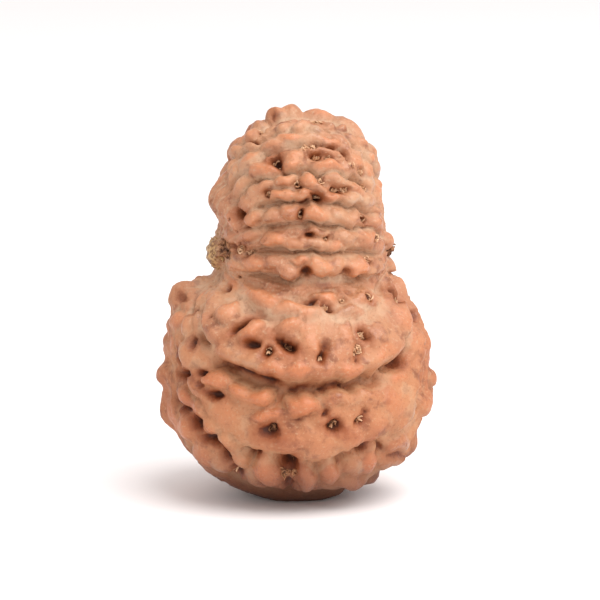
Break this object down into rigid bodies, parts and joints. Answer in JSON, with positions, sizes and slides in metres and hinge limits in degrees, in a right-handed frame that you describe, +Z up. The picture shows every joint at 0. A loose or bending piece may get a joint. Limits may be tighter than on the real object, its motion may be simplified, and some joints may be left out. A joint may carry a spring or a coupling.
{
  "type": "rudraksha bead",
  "caption": "Natural rudraksha seed stone standing on its wide end: deep grooves run from hub to hub between knobbly, pitted segments.",
  "frame": {"origin": "centre of the box around the bead, on the ground that it stands on", "axes": "+Z up along the bead's height, -Y towards the side that the picture shows, X along the axis through the two hubs"},
  "size_m": [0.0238, 0.023, 0.0341],
  "materials": {
    "stone": "matte"
  },
  "bodies": {
    "root": {"rudraksha_bead": "stone"}
  },
  "joints": []
}
